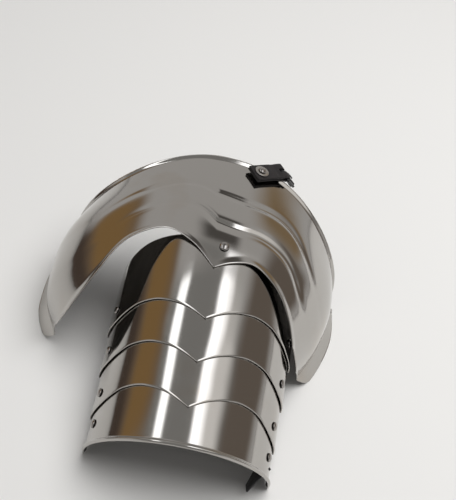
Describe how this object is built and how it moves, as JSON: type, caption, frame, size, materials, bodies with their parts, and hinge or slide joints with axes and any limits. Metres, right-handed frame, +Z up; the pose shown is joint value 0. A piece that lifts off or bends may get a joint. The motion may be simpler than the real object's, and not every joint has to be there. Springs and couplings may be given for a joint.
{
  "type": "pauldron",
  "caption": "Polished steel shoulder defence: a dished shoulder plate riveted over lapped, cusp-edged arm lames, with a short buckled leather strap at the neck edge.",
  "frame": {"origin": "centre of the bounding box in X and Y, on the ground that the pauldron lies on", "axes": "+Z up from the ground, -Y towards the arm rim, +Y towards the neck edge, +X towards the smaller wing and the strap"},
  "size_m": [0.3002, 0.314, 0.1481],
  "materials": {
    "shoulder_steel": "polished",
    "lame_steel": "polished",
    "rivet_steel": "polished",
    "washer_steel": "satin",
    "strap_leather": "matte",
    "buckle_iron": "satin black"
  },
  "bodies": {
    "shoulder": {"main_plate": "shoulder_steel", "crown_rivet": "rivet_steel", "neck_strap": "strap_leather", "neck_strap_washer": "washer_steel", "neck_strap_rivet": "rivet_steel"},
    "buckle": {"buckle_frame": "buckle_iron"},
    "roller": {"buckle_roller": "buckle_iron"},
    "tongue": {"buckle_tongue": "buckle_iron"},
    "lame_1": {"lame_1": "lame_steel", "lame_rivet_1_left": "rivet_steel", "lame_rivet_1_right": "rivet_steel"},
    "lame_2": {"lame_2": "lame_steel", "lame_rivet_2_left": "rivet_steel", "lame_rivet_2_right": "rivet_steel"},
    "lame_3": {"lame_3": "lame_steel", "lame_rivet_3_left": "rivet_steel", "lame_rivet_3_right": "rivet_steel"},
    "lame_4": {"lame_4": "lame_steel", "arm_strap_rivet_left": "rivet_steel", "arm_strap_rivet_right": "rivet_steel", "arm_strap_left": "strap_leather", "arm_strap_right": "strap_leather"}
  },
  "joints": [
    {"name": "shoulder_swivel", "type": "hinge", "parent": "shoulder", "child": "lame_1", "pos_m": [0.02238, 0.02047, 0.13718], "axis": [0.0492, -0.2608, 0.9641], "range_deg": [-3, 3]},
    {"name": "lame_1_pivot", "type": "hinge", "parent": "lame_1", "child": "lame_2", "pos_m": [0.01778, -0.02114, 0.07102], "axis": [1, 0, 0], "range_deg": [-2, 5]},
    {"name": "lame_2_pivot", "type": "hinge", "parent": "lame_2", "child": "lame_3", "pos_m": [0.01778, -0.05926, 0.05955], "axis": [1, 0, 0], "range_deg": [-2, 5]},
    {"name": "lame_3_pivot", "type": "hinge", "parent": "lame_3", "child": "lame_4", "pos_m": [0.01778, -0.09738, 0.04809], "axis": [1, 0, 0], "range_deg": [-2, 5]},
    {"name": "buckle_pivot", "type": "hinge", "parent": "shoulder", "child": "buckle", "pos_m": [0.06543, 0.1398, 0.13364], "axis": [0.5977, -0.7969, -0.0874], "range_deg": [-4, 60]},
    {"name": "tongue_pivot", "type": "hinge", "parent": "buckle", "child": "tongue", "pos_m": [0.06543, 0.1398, 0.13364], "axis": [0.5977, -0.7969, -0.0874], "range_deg": [0, 75]},
    {"name": "roller_spin", "type": "hinge", "parent": "buckle", "child": "roller", "pos_m": [0.07268, 0.14661, 0.1211], "axis": [0.5977, -0.7969, -0.0874], "continuous": true}
  ]
}
